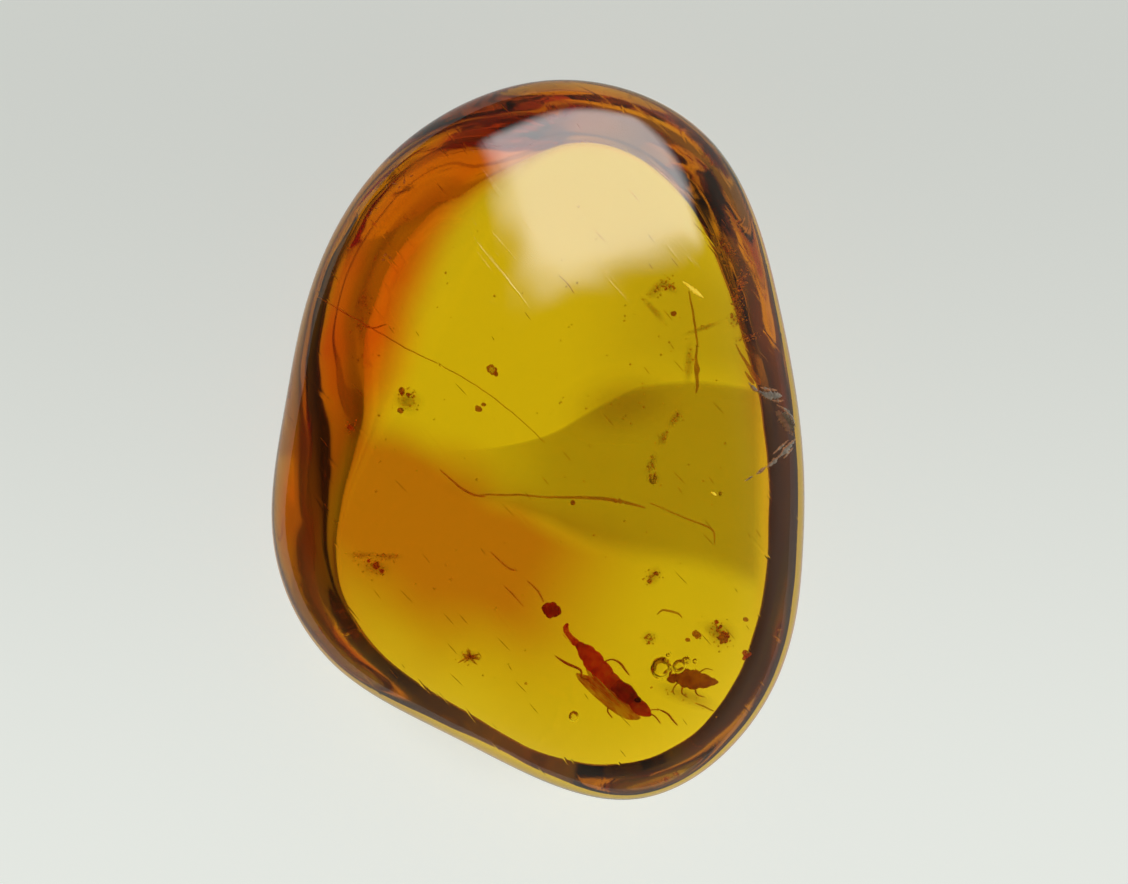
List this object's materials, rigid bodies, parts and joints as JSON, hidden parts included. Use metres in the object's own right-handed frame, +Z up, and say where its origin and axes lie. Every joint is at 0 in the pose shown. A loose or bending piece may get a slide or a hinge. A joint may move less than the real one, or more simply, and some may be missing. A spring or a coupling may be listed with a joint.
{
  "type": "insect in amber",
  "caption": "Polished clear amber pebble with a flat back and a domed face, holding a small fossil insect among specks and plant hairs.",
  "frame": {"origin": "centre of the outline in plan, on the surface the flat back rests on", "axes": "+Y along the pebble's length towards its narrow shoulder, +Z up out of the domed face, +X to the right of the domed face"},
  "size_m": [0.0148, 0.02, 0.0058],
  "materials": {
    "amber": "polished clear golden resin with fine rubbing scratches",
    "insect": "glossy red-brown fossil insect sealed in the resin",
    "debris": "dull dark brown specks, plant hairs and threads sealed in the resin",
    "flow": "thin cloudy flow layers and hairline cracks in the resin",
    "gas": "tiny gas bubbles and bright crack faces in the resin"
  },
  "bodies": {
    "root": {"amber": "amber"}
  },
  "joints": []
}
